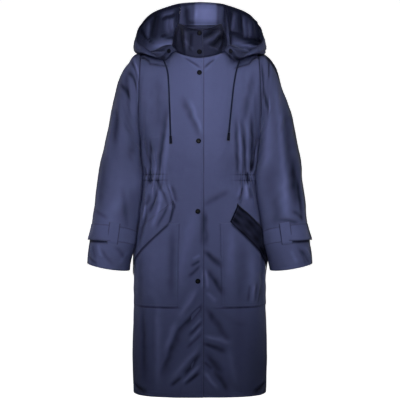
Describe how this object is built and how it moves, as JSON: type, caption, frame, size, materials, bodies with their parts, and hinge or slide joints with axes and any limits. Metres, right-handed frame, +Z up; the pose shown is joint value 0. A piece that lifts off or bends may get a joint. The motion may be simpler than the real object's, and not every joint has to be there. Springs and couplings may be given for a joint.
{
  "type": "hooded parka",
  "caption": "Knee-length hooded parka, worn and hollow, with a snap placket, funnel collar, open hood with drawcords, waist gathers, flap pockets and cuff straps.",
  "frame": {"origin": "middle of the neck opening, level with the inner ends of the shoulder seams, where the wearer's shoulders carry the coat", "axes": "+Z up, the front faces -Y, +X to the wearer's left; the names right and left are the wearer's"},
  "size_m": [0.686, 0.327, 1.2192],
  "materials": {
    "shell_cloth": "smooth coated cotton, soft sheen",
    "snap_metal": "black enamel, satin",
    "drawcord": "round braided cord, matt",
    "cord_end": "moulded, satin"
  },
  "bodies": {
    "root": {"front_right": "shell_cloth", "front_left": "shell_cloth", "back": "shell_cloth", "sleeve_right": "shell_cloth", "sleeve_left": "shell_cloth", "collar": "shell_cloth", "hood_centre": "shell_cloth", "hood_right": "shell_cloth", "hood_left": "shell_cloth", "pocket_right": "shell_cloth", "pocket_left": "shell_cloth", "flap_right": "shell_cloth", "flap_left": "shell_cloth", "cuff_strap_right": "shell_cloth", "cuff_strap_left": "shell_cloth", "strap_loop_right": "shell_cloth", "strap_loop_left": "shell_cloth", "snap_1": "snap_metal", "snap_2": "snap_metal", "snap_3": "snap_metal", "snap_4": "snap_metal", "snap_5": "snap_metal", "snap_6": "snap_metal", "eyelet_right": "snap_metal", "eyelet_left": "snap_metal", "hood_cord_right": "drawcord", "hood_cord_left": "drawcord", "cord_end_right": "cord_end", "cord_end_left": "cord_end"}
  },
  "joints": []
}
